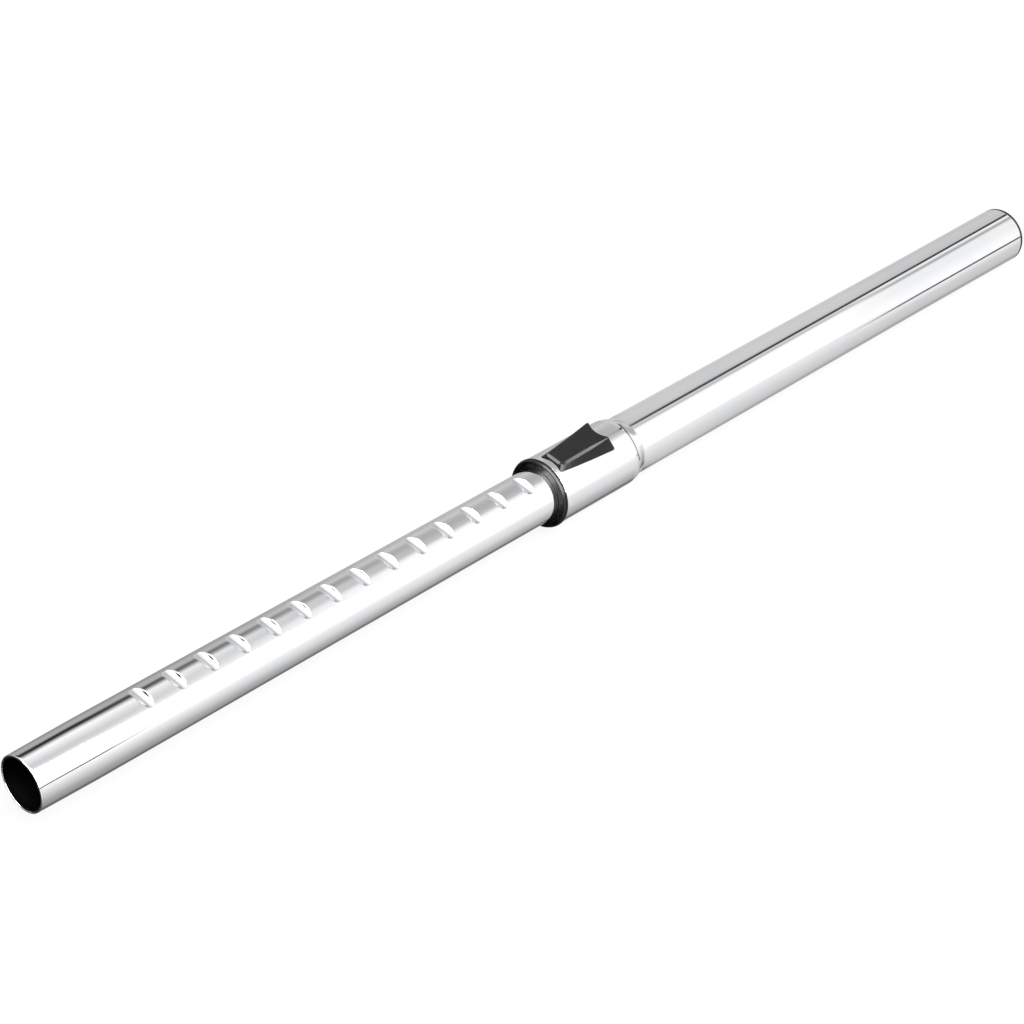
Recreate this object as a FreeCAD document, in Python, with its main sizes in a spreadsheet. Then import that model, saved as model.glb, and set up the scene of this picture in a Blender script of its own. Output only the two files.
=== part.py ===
import FreeCAD, Part
import math
import os
import re
import Sketcher

# Telescopic suction wand: a chromed steel grip tube with a widened housing, a notched
# chromed steel sliding tube, and a sliding release button that lifts a lock roller.
# X runs along the wand from the handle socket to the nozzle end, Z goes up through
# the button, and the wand's axis is the X axis. Lengths are in millimetres.

doc = FreeCAD.newDocument("suction_wand")

# Driving dimensions: alias, value, what it is
SIZES = [
    ("tube_diameter", 35.0, "sliding tube, outside"),
    ("tube_wall", 0.7, "sliding tube, sheet"),
    ("tube_gap", 1.5, "sliding tube to the grip tube's bore"),
    ("outer_wall", 0.7, "grip tube, sheet"),
    ("outer_diameter", "=tube_diameter + (tube_gap + outer_wall) * 2", "grip tube, outside"),
    ("flare_rise", 0.5, "grip tube's radius, gain at the socket mouth"),
    ("flare_diameter", "=outer_diameter + flare_rise * 2", "socket mouth, outside"),
    ("flare_length", 128.0, "socket mouth to the end of the flared cone"),
    ("shoulder_start", 428.0, "socket mouth to the start of the shoulder"),
    ("shoulder_length", 8.8, "shoulder between grip tube and housing"),
    ("housing_length", 66.6, "shoulder to the housing mouth"),
    ("housing_rise", 2.5, "step from the grip tube up to the housing"),
    ("housing_diameter", "=outer_diameter + housing_rise * 2", "housing, outside"),
    ("shoulder_round", 7.0, "bend radius where the housing begins"),
    ("neck_round", 4.0, "bend radius where the grip tube ends"),
    ("window_front", 10.45, "lock line to the window's nozzle end"),
    ("window_rear", 20.65, "lock line to the window's handle end"),
    ("window_half_width", 6.9, "window for the button's carriage, half its width"),
    ("lip_length", 2.3, "black lip of the socket liner"),
    ("socket_fit", 0.1, "gap round a 35 mm spigot in the socket"),
    ("socket_diameter", "=tube_diameter + socket_fit * 2", "socket liner, bore"),
    ("socket_depth", 119.0, "socket liner, length with its lip"),
    ("lead_in", 0.4, "chamfer at the bores' mouths"),
    ("seat_fit", 0.05, "gap round a piece fixed in its seat"),
    ("running_fit", 0.15, "gap round a piece that slides"),
    ("tip_taper", 0.5, "sliding tube's radius, loss at its nozzle end"),
    ("tip_diameter", "=tube_diameter - tip_taper * 2", "nozzle end, outside"),
    ("spigot_taper", 0.2, "sliding tube's radius, loss at the land"),
    ("spigot_diameter", "=tube_diameter - spigot_taper * 2", "sized land that a nozzle seats on"),
    ("spigot_front", 14.0, "tip to the start of the land"),
    ("spigot_length", 20.0, "length of the land"),
    ("taper_length", 41.0, "tip to the full tube diameter"),
    ("rim_bevel", 0.4, "tip, outside edge bevel"),
    ("rim_depth", 0.9, "tip, length of the curled edge"),
    ("rim_turn", 0.5, "tip, how far the edge curls inwards"),
    ("notch_pitch", 23.05, "spacing of the lock notches"),
    ("notch_count", 16, "lock notches"),
    ("notch_depth", 2.1, "lock notch, depth at its middle"),
    ("notch_radius", 4.0, "bar that stamps a lock notch"),
    ("tip_to_notch", 79.3, "tip to the first lock notch"),
    ("lock_setback", 25.15, "housing mouth to the lock line"),
    ("flange_length", 1.4, "collar, flange in front of the housing"),
    ("flange_rise", 0.5, "collar, flange above the housing"),
    ("flange_diameter", "=housing_diameter + flange_rise * 2", "collar, flange"),
    ("collar_depth", 9.0, "collar, length inside the housing"),
    ("bead_length", 1.8, "rubber ring in front of the collar"),
    ("bead_rise", 0.3, "rubber ring above the housing"),
    ("bead_diameter", "=housing_diameter + bead_rise * 2", "rubber ring, outside"),
    ("shell_gap", 0.5, "guide shells to the collar"),
    ("shell_nose", 3.7, "guide shells, reach into the grip tube"),
    ("shell_step", 1.4, "shoulder's end to the step of the guide shells"),
    ("spring_bay_front", 4.25, "lock line to the spring bays"),
    ("spring_bay_rear", 25.25, "lock line to the bays' end wall"),
    ("spring_bay_inner", 4.4, "wand axis to the bays' inner wall"),
    ("spring_bay_outer", 8.0, "wand axis to the bays' outer wall"),
    ("slot_front", 11.95, "lock line to the front end of the cheek slots"),
    ("roller_diameter", 6.0, "lock roller, barrel"),
    ("roller_length", 10.4, "lock roller, barrel length"),
    ("journal_diameter", 2.2, "lock roller, journals"),
    ("roller_overall", 12.8, "lock roller, overall length"),
    ("notch_fit", 0.05, "gap under the seated roller"),
    ("button_travel", 6.0, "slide of the button"),
    ("roller_lift", 2.4, "lift of the roller over the button's slide"),
    ("cheek_inner", 5.5, "carriage, inside of a cheek from the middle"),
    ("cheek_outer", 6.3, "carriage, outside of a cheek from the middle"),
    ("cheek_drop", 1.55, "roller line down to the carriage's underside"),
    ("cheek_rise", 0.25, "housing's top up to the cheeks' top"),
    ("cheek_slope", 6.75, "lock line to where the cheeks' top slopes down"),
    ("cheek_dip", 1.6, "housing's top down to the cheeks' front corner"),
    ("cheek_front", 9.75, "lock line to the cheeks' front"),
    ("cheek_rear", 13.65, "lock line to the cheeks' rear"),
    ("bridge_front", 4.25, "lock line to the bridge's front"),
    ("bridge_dip", 0.45, "housing's top down to the bridge's underside"),
    ("bridge_rise", 2.4, "housing's top up to the bridge's top"),
    ("hook_front", 5.25, "lock line to the hooks' front"),
    ("hook_half_width", 7.8, "carriage, reach of its hooks from the middle"),
    ("hook_dip", 1.7, "housing's bore down to the hooks' top"),
    ("hook_height", 2.6, "carriage, height of its hooks"),
    ("foot_dip", 4.2, "housing's top down to the button's foot outline"),
    ("nose_foot", 24.05, "lock line to the button's nose at the foot"),
    ("nose_foot_half", 10.5, "button's nose at the foot, half width"),
    ("tail_foot", 27.2, "lock line to the button's tail at the foot"),
    ("tail_foot_half", 12.6, "button's tail at the foot, half width"),
    ("nose_rise", 1.71, "housing's top up to the button's nose edge"),
    ("nose_top", 19.0, "lock line to the button's nose edge"),
    ("nose_top_half", 6.4, "button's nose edge, half width"),
    ("tail_rise", 6.3, "housing's top up to the button's tail edge"),
    ("tail_top", 20.45, "lock line to the button's tail edge"),
    ("tail_top_half", 9.1, "button's tail edge, half width"),
    ("button_bevel", 1.0, "button, edge bevel"),
    ("button_wall", 1.0, "button, wall under its top"),
    ("hollow_half", 6.25, "button's hollow, half width at its foot by the nose"),
    ("hollow_spread", 0.11, "button's hollow, gain in half width per length toward the tail"),
    ("hollow_draft", 0.283, "button's hollow, loss in half width per height"),
    ("nose_wall", 2.0, "button, wall of its nose at the foot"),
    ("nose_top_wall", 0.8, "button, wall of its nose at the top"),
    ("tail_wall", 1.5, "button, wall of its tail, behind the scoop"),
    ("scoop_radius", 14.0, "thumb scoop in the button's tail"),
    ("scoop_depth", 2.4, "thumb scoop, depth at its middle"),
    ("rib_width", 1.2, "button, ribs over the carriage"),
    ("spring_diameter", 3.1, "return springs, outside"),
    ("spring_wire", 0.45, "return springs, wire"),
    ("spring_turns", 3, "return springs, turns"),
    ("spring_side", 6.15, "return springs, distance from the middle"),
    ("spring_dip", 3.0, "housing's bore down to the springs' middle"),
    ("spring_end_gap", 0.05, "return springs, gap at each end"),
    ("bush_length", 28.0, "rear bush on the sliding tube"),
    ("bush_overhang", 1.9, "rear bush, overhang behind the tube's end"),
    ("stop_gap", 0.3, "rear bush to the guide shells, pulled out"),
]
PREFIX = {name: "sizes." for name, _, _ in SIZES}

sheet = doc.addObject("Spreadsheet::Sheet", "sizes")
for row, (name, value, what) in enumerate(SIZES, start=1):
    sheet.set(f"A{row}", what)
    sheet.set(f"B{row}", str(value))
    sheet.setAlias(f"B{row}", name)
doc.recompute()

# Places along the wand and radii, in terms of the driving dimensions
MOUTH = "(shoulder_start + shoulder_length + housing_length)"
LOCK = f"({MOUTH} - lock_setback)"
TIP = f"({LOCK} + (notch_count - 1) * notch_pitch + tip_to_notch)"
HOUSING = "(shoulder_start + shoulder_length)"
HOUSING_BORE = "(housing_diameter / 2 - outer_wall)"
OUTER_BORE = "(outer_diameter / 2 - outer_wall)"
FLARE_BORE = "(flare_diameter / 2 - outer_wall)"
SLIDE_BORE = "(tube_diameter / 2 + running_fit)"
TOP = "(housing_diameter / 2)"
FOOT = f"({TOP} - foot_dip)"
NOSE_TOP = f"({TOP} + nose_rise)"
TAIL_TOP = f"({TOP} + tail_rise)"
TOP_SLOPE = "((tail_rise - nose_rise) / (nose_top + tail_top))"
CHEEK_TOP = f"({TOP} + cheek_rise)"
BRIDGE_TOP = f"({TOP} + bridge_rise)"
BRIDGE_BOTTOM = f"({TOP} - bridge_dip)"
HOOK_TOP = f"({HOUSING_BORE} - hook_dip)"
SHELL_REAR = "(shoulder_start - shell_nose)"
SHELL_FRONT = f"({MOUTH} - collar_depth - shell_gap)"
BUSH_FRONT = f"({SHELL_REAR} - stop_gap)"
BUSH_REAR = f"({BUSH_FRONT} - bush_length)"
TUBE_REAR = f"({BUSH_REAR} + bush_overhang)"
ROLLER_HEIGHT = "(tube_diameter / 2 - notch_depth + notch_fit + roller_diameter / 2)"
CHEEK_BOTTOM = f"({ROLLER_HEIGHT} - cheek_drop)"
NOTCH_BAR_HEIGHT = "(tube_diameter / 2 - notch_depth + notch_radius)"


def bound(text):
    """The text as an expression: each alias is read from the sheet."""
    return re.sub(r"[a-z_]+", lambda word: PREFIX.get(word.group(), "") + word.group(), text)


def number(text):
    """The present value of a text in sheet terms."""
    return float(sheet.evalExpression(bound(text)))


def plane_of(body, role):
    """One of the body's own origin planes."""
    return next(f for f in body.Origin.OriginFeatures if f.Role == role)


def new_body(label):
    body = doc.addObject("PartDesign::Body", label)
    body.Label = label
    return body


def new_sketch(body, name, role="XZ_Plane"):
    sketch = body.newObject("Sketcher::SketchObject", name)
    sketch.AttachmentSupport = [(plane_of(body, role), "")]
    sketch.MapMode = "FlatFace"
    return sketch


def fix_point(sketch, geometry, point, across, up):
    """Hold one point of a sketch at two bound distances from the sketch's origin."""
    for kind, text, axis in (("DistanceX", across, -2), ("DistanceY", up, -1)):
        if abs(number(text)) < 1e-9:
            sketch.addConstraint(Sketcher.Constraint("PointOnObject", geometry, point, axis))
            continue
        held = sketch.addConstraint(Sketcher.Constraint(kind, geometry, point, number(text)))
        sketch.setExpression(f"Constraints[{held}]", bound(text))


def outline(sketch, corners):
    """A closed outline of straight sides through corners given in sheet terms."""
    spots = [FreeCAD.Vector(number(a), number(b), 0) for a, b in corners]
    first = sketch.GeometryCount
    count = len(corners)
    for k in range(count):
        sketch.addGeometry(Part.LineSegment(spots[k], spots[(k + 1) % count]), False)
    for k in range(count):
        after = first + (k + 1) % count
        sketch.addConstraint(Sketcher.Constraint("Coincident", first + k, 2, after, 1))
    for k, (across, up) in enumerate(corners):
        fix_point(sketch, first + k, 1, across, up)


def rectangle(sketch, left, right, low, high):
    outline(sketch, [(left, low), (right, low), (right, high), (left, high)])


def circle(sketch, across, up, radius):
    centre = FreeCAD.Vector(number(across), number(up), 0)
    ring = sketch.addGeometry(Part.Circle(centre, FreeCAD.Vector(0, 0, 1), number(radius)), False)
    fix_point(sketch, ring, 3, across, up)
    held = sketch.addConstraint(Sketcher.Constraint("Radius", ring, number(radius)))
    sketch.setExpression(f"Constraints[{held}]", bound(radius))


def turned(label, corners, role="XZ_Plane", angle=360, other_way=False):
    """A body turned about the wand's axis from an outline of (place, radius) corners."""
    body = new_body(label)
    sketch = new_sketch(body, label + "_outline", role)
    outline(sketch, corners)
    turn = body.newObject("PartDesign::Revolution", label + "_turned")
    turn.Profile = sketch
    turn.ReferenceAxis = (sketch, ["H_Axis"])
    turn.Angle = angle
    turn.Reversed = other_way
    sketch.Visibility = False
    body.Tip = turn
    doc.recompute()
    return body


def ring_edges(body, place, radius):
    """The names of the circular edges at a place along the axis with a radius."""
    names = []
    for k, edge in enumerate(body.Tip.Shape.Edges, start=1):
        curve = edge.Curve
        if not isinstance(curve, Part.Circle) or abs(abs(curve.Axis.x) - 1) > 1e-6:
            continue
        if abs(curve.Center.x - number(place)) < 1e-4 and abs(curve.Radius - number(radius)) < 1e-4:
            names.append(f"Edge{k}")
    return names


def dressed(body, kind, name, edges, size):
    """A Fillet or Chamfer on named edges of the body's tip, its size bound to the sheet."""
    base = body.Tip
    feature = body.newObject(f"PartDesign::{kind}", name)
    feature.Base = (base, edges)
    feature.setExpression("Radius" if kind == "Fillet" else "Size", bound(size))
    body.Tip = feature
    doc.recompute()


def cut(body, name, sketch, midplane=False, upwards=True):
    """A through pocket, upwards from the sketch's plane or to both sides of it."""
    before = body.Shape.Volume
    pocket = body.newObject("PartDesign::Pocket", name)
    pocket.Profile = sketch
    pocket.Type = "ThroughAll"
    if midplane:
        pocket.SideType = "Symmetric"
    else:
        pocket.Reversed = upwards
    sketch.Visibility = False
    body.Tip = pocket
    doc.recompute()
    if not body.Shape.Volume < before:
        raise RuntimeError(f"{name} cuts nothing")
    return pocket


def pad(body, name, sketch, width):
    """A pad of a bound width, half to each side of its sketch."""
    feature = body.newObject("PartDesign::Pad", name)
    feature.Profile = sketch
    feature.SideType = "Symmetric"
    feature.setExpression("Length", bound(width))
    sketch.Visibility = False
    body.Tip = feature
    doc.recompute()
    return feature


def outer_tube():
    """One drawn tube: flared socket end, straight grip, shoulder and housing with its window."""
    body = turned("outer_tube", [
        ("lip_length", "flare_diameter / 2"),
        ("flare_length", "outer_diameter / 2"),
        ("shoulder_start", "outer_diameter / 2"),
        (HOUSING, "housing_diameter / 2"),
        (MOUTH, "housing_diameter / 2"),
        (MOUTH, HOUSING_BORE),
        (HOUSING, HOUSING_BORE),
        ("shoulder_start", OUTER_BORE),
        ("flare_length", OUTER_BORE),
        ("lip_length", FLARE_BORE),
    ])
    shoulder = ring_edges(body, HOUSING, "housing_diameter / 2")
    dressed(body, "Fillet", "shoulder_bend", shoulder, "shoulder_round")
    neck = ring_edges(body, "shoulder_start", "outer_diameter / 2")
    dressed(body, "Fillet", "neck_bend", neck, "neck_round")
    window = new_sketch(body, "window_outline", "XY_Plane")
    rectangle(window, f"{LOCK} - window_rear", f"{LOCK} + window_front",
              "-window_half_width", "window_half_width")
    cut(body, "window", window)
    return body


def socket_liner():
    """Moulded liner of the handle socket: a bore for the spigot and a lip over the tube's end."""
    sleeve = f"({OUTER_BORE} - seat_fit)"
    body = turned("socket_liner", [
        ("0", "socket_diameter / 2"),
        ("0", "flare_diameter / 2"),
        ("lip_length", "flare_diameter / 2"),
        ("lip_length", sleeve),
        ("socket_depth", sleeve),
        ("socket_depth", "socket_diameter / 2"),
    ])
    dressed(body, "Chamfer", "mouth_lead_in", ring_edges(body, "0", "socket_diameter / 2"), "lead_in")
    return body


def collar():
    """Black collar: a sleeve pushed into the housing, with a flange in front of it."""
    sleeve = f"({HOUSING_BORE} - seat_fit)"
    return turned("collar", [
        (f"{MOUTH} - collar_depth", SLIDE_BORE),
        (f"{MOUTH} - collar_depth", sleeve),
        (MOUTH, sleeve),
        (MOUTH, "flange_diameter / 2"),
        (f"{MOUTH} + flange_length", "flange_diameter / 2"),
        (f"{MOUTH} + flange_length", SLIDE_BORE),
    ])


def wiper_ring():
    """Soft black ring on the collar's front face, which wipes the sliding tube."""
    rear = f"{MOUTH} + flange_length"
    front = f"{rear} + bead_length"
    return turned("wiper_ring", [
        (rear, SLIDE_BORE), (rear, "bead_diameter / 2"), (front, "bead_diameter / 2"), (front, SLIDE_BORE)])


def shell_outline():
    """The guide shells' half section: a nose in the grip tube, then the housing's bore."""
    nose = f"({OUTER_BORE} - seat_fit * 2)"
    barrel = f"({HOUSING_BORE} - seat_fit * 2)"
    return [
        (SHELL_REAR, SLIDE_BORE),
        (SHELL_REAR, nose),
        (f"{HOUSING} + shell_step", nose),
        (f"{HOUSING} + shell_step", barrel),
        (SHELL_FRONT, barrel),
        (SHELL_FRONT, SLIDE_BORE),
    ]


def guide_shell_lower():
    """Lower half of the plastic guide that centres the sliding tube in the housing."""
    return turned("guide_shell_lower", shell_outline(), "XY_Plane", 180, True)


def guide_shell_upper():
    """Upper half of the guide, with the roller's well, the cheek slots and the spring bays."""
    body = turned("guide_shell_upper", shell_outline(), "XY_Plane", 180)
    well = new_sketch(body, "roller_well_outline", "XY_Plane")
    half = "(roller_diameter / 2 + seat_fit)"
    reach = "(roller_overall / 2 + running_fit)"
    rectangle(well, f"{LOCK} - {half}", f"{LOCK} + {half}", f"-{reach}", reach)
    cut(body, "roller_well", well)
    for side, sign in (("left", ""), ("right", "-")):
        slots = new_sketch(body, f"cheek_slot_{side}_outline", "XY_Plane")
        rectangle(slots, f"{LOCK} - spring_bay_front - seat_fit", f"{LOCK} + slot_front",
                  f"{sign}(cheek_inner - running_fit)", f"{sign}(cheek_outer + running_fit)")
        cut(body, f"cheek_slot_{side}", slots)
        bays = new_sketch(body, f"spring_bay_{side}_outline", "XY_Plane")
        rectangle(bays, f"{LOCK} - spring_bay_rear", f"{LOCK} - spring_bay_front",
                  f"{sign}spring_bay_inner", f"{sign}spring_bay_outer")
        cut(body, f"spring_bay_{side}", bays)
    return body


def lock_roller():
    """Turned steel roller: a barrel that drops into a notch and a journal at each end."""
    body = new_body("lock_roller")
    sketch = new_sketch(body, "roller_outline", "YZ_Plane")
    outline(sketch, [
        ("-roller_overall / 2", "0"),
        ("-roller_overall / 2", "journal_diameter / 2"),
        ("-roller_length / 2", "journal_diameter / 2"),
        ("-roller_length / 2", "roller_diameter / 2"),
        ("roller_length / 2", "roller_diameter / 2"),
        ("roller_length / 2", "journal_diameter / 2"),
        ("roller_overall / 2", "journal_diameter / 2"),
        ("roller_overall / 2", "0"),
    ])
    turn = body.newObject("PartDesign::Revolution", "roller_turned")
    turn.Profile = sketch
    turn.ReferenceAxis = (sketch, ["H_Axis"])
    turn.Angle = 360
    sketch.Visibility = False
    body.Tip = turn
    body.setExpression("Placement.Base.x", bound(LOCK))
    body.setExpression("Placement.Base.z", bound(ROLLER_HEIGHT))
    doc.recompute()
    return body


def button_carriage():
    """Carriage clipped under the button: two cheeks with ramp slots, a bridge and hooks."""
    body = new_body("button_carriage")
    sides = new_sketch(body, "cheek_outline")
    outline(sides, [
        (f"{LOCK} - cheek_rear", CHEEK_BOTTOM),
        (f"{LOCK} + cheek_front", CHEEK_BOTTOM),
        (f"{LOCK} + cheek_front", f"{TOP} - cheek_dip"),
        (f"{LOCK} + cheek_slope", CHEEK_TOP),
        (f"{LOCK} - bridge_front", CHEEK_TOP),
        (f"{LOCK} - bridge_front", BRIDGE_TOP),
        (f"{LOCK} - cheek_rear", BRIDGE_TOP),
    ])
    pad(body, "cheeks", sides, "cheek_outer * 2")
    hooks = new_sketch(body, "hook_outline")
    hook_bottom = f"{HOOK_TOP} - hook_height"
    rectangle(hooks, f"{LOCK} - cheek_rear", f"{LOCK} - hook_front", hook_bottom, HOOK_TOP)
    pad(body, "hooks", hooks, "hook_half_width * 2")
    inside = new_sketch(body, "inside_outline")
    outline(inside, [
        (f"{LOCK} - cheek_rear - cheek_outer", f"{CHEEK_BOTTOM} - cheek_outer"),
        (f"{LOCK} + cheek_front + cheek_outer", f"{CHEEK_BOTTOM} - cheek_outer"),
        (f"{LOCK} + cheek_front + cheek_outer", f"{BRIDGE_TOP} + cheek_outer"),
        (f"{LOCK} - bridge_front", f"{BRIDGE_TOP} + cheek_outer"),
        (f"{LOCK} - bridge_front", BRIDGE_BOTTOM),
        (f"{LOCK} - cheek_rear - cheek_outer", BRIDGE_BOTTOM),
    ])
    hollow = body.newObject("PartDesign::Pocket", "inside")
    hollow.Profile = inside
    hollow.SideType = "Symmetric"
    hollow.Type = "Length"
    hollow.setExpression("Length", bound("cheek_inner * 2"))
    inside.Visibility = False
    body.Tip = hollow
    doc.recompute()
    ramp = new_sketch(body, "ramp_slot_outline")
    ramp_slot(ramp)
    cut(body, "ramp_slot", ramp, midplane=True)
    return body


def ramp_slot(sketch):
    """A round-ended slot along the ramp that the roller's journals ride in."""
    radius = "(journal_diameter / 2 + seat_fit)"
    slope = math.atan2(number("roller_lift"), number("button_travel"))
    across = FreeCAD.Vector(-math.sin(slope), math.cos(slope), 0) * number(radius)
    low = FreeCAD.Vector(number(LOCK), number(ROLLER_HEIGHT), 0)
    high = low + FreeCAD.Vector(number("button_travel"), number("roller_lift"), 0)
    up = FreeCAD.Vector(0, 0, 1)
    quarter = math.pi / 2
    low_end = Part.Circle(low, up, number(radius))
    high_end = Part.Circle(high, up, number(radius))
    sketch.addGeometry(Part.ArcOfCircle(low_end, slope + quarter, slope + 3 * quarter), False)
    sketch.addGeometry(Part.LineSegment(low - across, high - across), False)
    sketch.addGeometry(Part.ArcOfCircle(high_end, slope - quarter, slope + quarter), False)
    sketch.addGeometry(Part.LineSegment(high + across, low + across), False)
    for a, a_end, b, b_end in ((0, 2, 1, 1), (1, 2, 2, 1), (2, 2, 3, 1), (3, 2, 0, 1)):
        sketch.addConstraint(Sketcher.Constraint("Tangent", a, a_end, b, b_end))
    held = sketch.addConstraint(Sketcher.Constraint("Radius", 0, number(radius)))
    sketch.setExpression(f"Constraints[{held}]", bound(radius))
    fix_point(sketch, 0, 3, LOCK, ROLLER_HEIGHT)
    fix_point(sketch, 2, 3, f"{LOCK} + button_travel", f"{ROLLER_HEIGHT} + roller_lift")


def quad(sketch, nose, tail, nose_half, tail_half):
    """A four-sided outline, narrow at the nose and wide at the tail."""
    low_nose = f"-({nose_half})"
    low_tail = f"-({tail_half})"
    outline(sketch, [(tail, low_tail), (nose, low_nose), (nose, nose_half), (tail, tail_half)])


def button_sketches(body, name, foot_corners, top_corners, drop):
    """The outlines of a wedge: its foot, and its top on the slope from nose to tail."""
    foot = new_sketch(body, name + "_foot", "XY_Plane")
    foot.setExpression("AttachmentOffset.Base.z", bound(FOOT))
    quad(foot, *foot_corners)
    top = new_sketch(body, name + "_top", "XY_Plane")
    top.AttachmentOffset = FreeCAD.Placement(
        FreeCAD.Vector(0, 0, 0), FreeCAD.Rotation(FreeCAD.Vector(0, 1, 0), 5))
    top.setExpression("AttachmentOffset.Base.x", bound(f"{LOCK} + nose_top"))
    top.setExpression("AttachmentOffset.Base.z", bound(f"{NOSE_TOP} - {drop}"))
    top.setExpression("AttachmentOffset.Rotation.Angle", bound(f"atan({TOP_SLOPE})"))
    quad(top, *top_corners)
    return foot, top


def release_button():
    """Hollow black wedge: low nose toward the nozzle, high tail with a thumb scoop."""
    body = new_body("release_button")
    top_length = f"((nose_top + tail_top) * sqrt(1 + {TOP_SLOPE} * {TOP_SLOPE}))"
    foot, top = button_sketches(
        body, "button",
        (f"{LOCK} + nose_foot", f"{LOCK} - tail_foot", "nose_foot_half", "tail_foot_half"),
        ("0", f"-{top_length}", "nose_top_half", "tail_top_half"), "0")
    loft = body.newObject("PartDesign::AdditiveLoft", "button_block")
    loft.Profile = foot
    loft.Sections = [top]
    loft.Ruled = True
    body.Tip = loft
    doc.recompute()
    scoop = new_sketch(body, "scoop_outline", "XY_Plane")
    scoop.AttachmentOffset = FreeCAD.Placement(
        FreeCAD.Vector(0, 0, 0), FreeCAD.Rotation(FreeCAD.Vector(0, 1, 0), 5))
    lean = f"((tail_foot - tail_top) / ({TAIL_TOP} - {FOOT}))"
    scoop.setExpression("AttachmentOffset.Rotation.Angle", bound(f"atan({lean})"))
    scoop.setExpression("AttachmentOffset.Base.x", bound(f"{LOCK} - tail_foot"))
    scoop.setExpression("AttachmentOffset.Base.z", bound(FOOT))
    circle(scoop, "scoop_depth - scoop_radius", "0", "scoop_radius")
    cut(body, "scoop", scoop, midplane=True)
    bevels = []
    for k, edge in enumerate(body.Tip.Shape.Edges, start=1):
        spots = [v.Point for v in edge.Vertexes]
        raised = any(p.z > number(NOSE_TOP) - 1e-3 for p in spots)
        at_nose = all(p.x > number(f"{LOCK} + nose_top") - 1e-3 for p in spots)
        long_side = edge.Length > number("nose_top + tail_top") / 2
        if raised and (at_nose or long_side):
            bevels.append(f"Edge{k}")
    dressed(body, "Chamfer", "button_edges", bevels, "button_bevel")
    tail_inset = "(tail_wall + scoop_depth)"
    nose_rise_in = f"(foot_dip + nose_rise - button_wall + nose_top_wall * {TOP_SLOPE})"
    tail_rise_in = f"(foot_dip + tail_rise - button_wall - {tail_inset} * {TOP_SLOPE})"
    nose_run_in = "(nose_foot - nose_wall - nose_top + nose_top_wall)"
    tail_run_in = f"(nose_foot - nose_wall + tail_top - {tail_inset})"
    foot_run_in = f"(nose_foot - nose_wall + tail_foot - {tail_inset})"
    inner_foot, inner_top = button_sketches(
        body, "hollow",
        (f"{LOCK} + nose_foot - nose_wall", f"{LOCK} - tail_foot + {tail_inset}",
         "hollow_half", f"hollow_half + hollow_spread * {foot_run_in}"),
        ("-nose_top_wall", f"-{top_length} + {tail_inset}",
         f"hollow_half + hollow_spread * {nose_run_in} - hollow_draft * {nose_rise_in}",
         f"hollow_half + hollow_spread * {tail_run_in} - hollow_draft * {tail_rise_in}"), "button_wall")
    hollow = body.newObject("PartDesign::SubtractiveLoft", "button_hollow")
    hollow.Profile = inner_foot
    hollow.Sections = [inner_top]
    hollow.Ruled = True
    body.Tip = hollow
    doc.recompute()
    ribs = new_sketch(body, "rib_outline")
    for start in ("cheek_rear - rib_width", "bridge_front + rib_width * 2"):
        ceiling = f"{NOSE_TOP} + ({start} + nose_top) * {TOP_SLOPE} - button_wall / 2"
        rectangle(ribs, f"{LOCK} - ({start}) - rib_width", f"{LOCK} - ({start})", BRIDGE_TOP, ceiling)
    pad(body, "ribs", ribs, "cheek_outer * 2")
    rest = new_sketch(body, "housing_outline")
    rectangle(rest, f"{LOCK} - tail_foot * 2", f"{LOCK} + nose_foot * 2", "0", f"{TOP} + running_fit")
    groove = body.newObject("PartDesign::Groove", "housing_seat")
    groove.Profile = rest
    groove.ReferenceAxis = (rest, ["H_Axis"])
    groove.Angle = 360
    body.Tip = groove
    doc.recompute()
    return body


def return_spring(side, sign):
    """One of two wire springs that push the carriage back toward the nozzle."""
    label = f"return_spring_{side}"
    body = new_body(label)
    sketch = new_sketch(body, label + "_wire")
    mean = "((spring_diameter - spring_wire) / 2)"
    start = "(spring_wire / 2 + spring_end_gap)"
    corners = []
    for k in range(3):
        turn = math.radians(120 * k + 90)
        corners.append((f"{start} + {math.cos(turn):.6f} * spring_wire / 2",
                        f"{mean} + {math.sin(turn):.6f} * spring_wire / 2"))
    outline(sketch, corners)
    coil = body.newObject("PartDesign::AdditiveHelix", label + "_coil")
    coil.Profile = sketch
    coil.ReferenceAxis = (sketch, ["H_Axis"])
    coil.Mode = 0
    height = "(spring_bay_rear - cheek_rear - spring_wire - spring_end_gap * 2)"
    coil.setExpression("Pitch", bound(f"{height} / spring_turns"))
    coil.setExpression("Height", bound(height))
    body.Tip = coil
    body.setExpression("Placement.Base.x", bound(f"{LOCK} - spring_bay_rear"))
    body.setExpression("Placement.Base.y", bound(f"{sign}spring_side"))
    body.setExpression("Placement.Base.z", bound(f"{HOUSING_BORE} - spring_dip"))
    doc.recompute()
    return body


def notched(label, corners, bar_radius):
    """A turned solid with a row of stamped notches: one bar cut, repeated at the pitch."""
    body = turned(label, corners)
    bar = new_sketch(body, label + "_bar")
    circle(bar, LOCK, NOTCH_BAR_HEIGHT, bar_radius)
    notch = cut(body, label + "_notch", bar, midplane=True)
    row = body.newObject("PartDesign::LinearPattern", label + "_notches")
    row.Originals = [notch]
    row.Direction = (bar, ["H_Axis"])
    row.Mode = "Spacing"
    row.setExpression("Offset", bound("notch_pitch"))
    row.setExpression("Occurrences", bound("notch_count"))
    body.Tip = row
    doc.recompute()
    return body


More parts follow.
